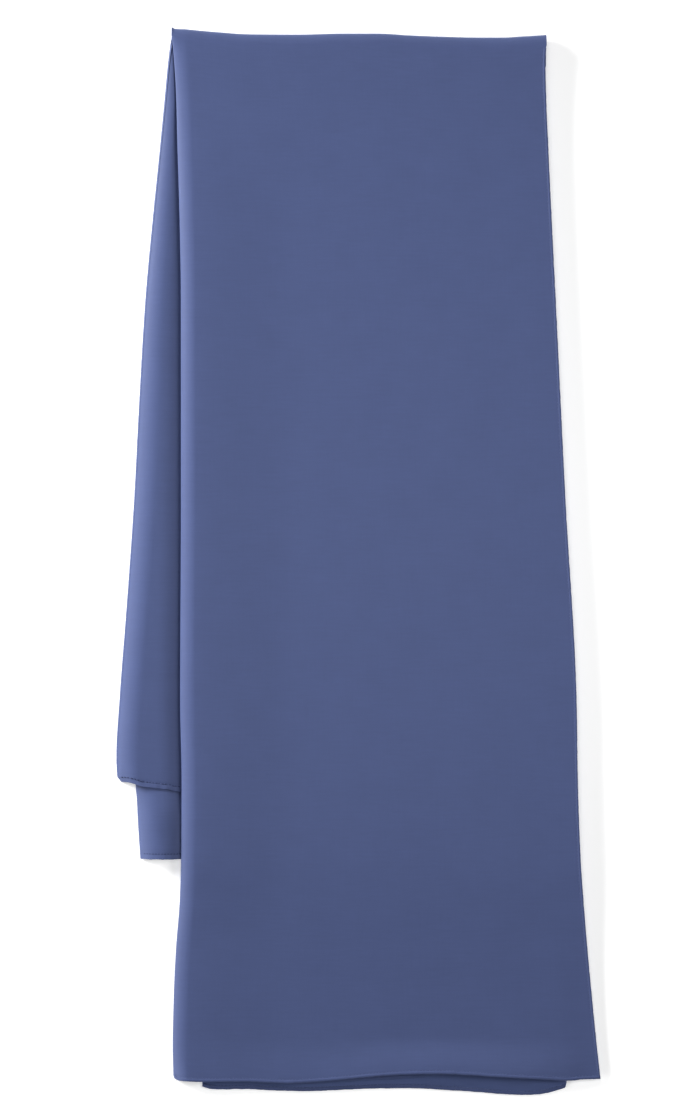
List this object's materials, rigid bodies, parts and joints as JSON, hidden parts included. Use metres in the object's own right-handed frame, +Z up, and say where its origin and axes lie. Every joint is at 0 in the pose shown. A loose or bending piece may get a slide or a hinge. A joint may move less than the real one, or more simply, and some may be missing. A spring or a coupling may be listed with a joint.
{
  "type": "evening stole",
  "caption": "Plain woven evening stole in slate blue with narrow rolled hems, folded lengthwise and once across, lying flat.",
  "frame": {"origin": "centre of the folded stole's footprint, on the surface that it lies on", "axes": "+Y towards the crosswise fold, +X towards the free edge of the front fall, +Z up from the surface"},
  "size_m": [0.4644, 1.0237, 0.0135],
  "materials": {
    "crepe_face": "fine plain weave with a soft satin sheen, slate blue",
    "crepe_under": "the same fine weave on the inner side, matter"
  },
  "bodies": {
    "root": {"front_fall": "crepe_face", "front_under_fold": "crepe_under", "back_fall_upper": "crepe_face", "back_fall_lower": "crepe_face", "hidden_layers": "crepe_under"}
  },
  "joints": []
}
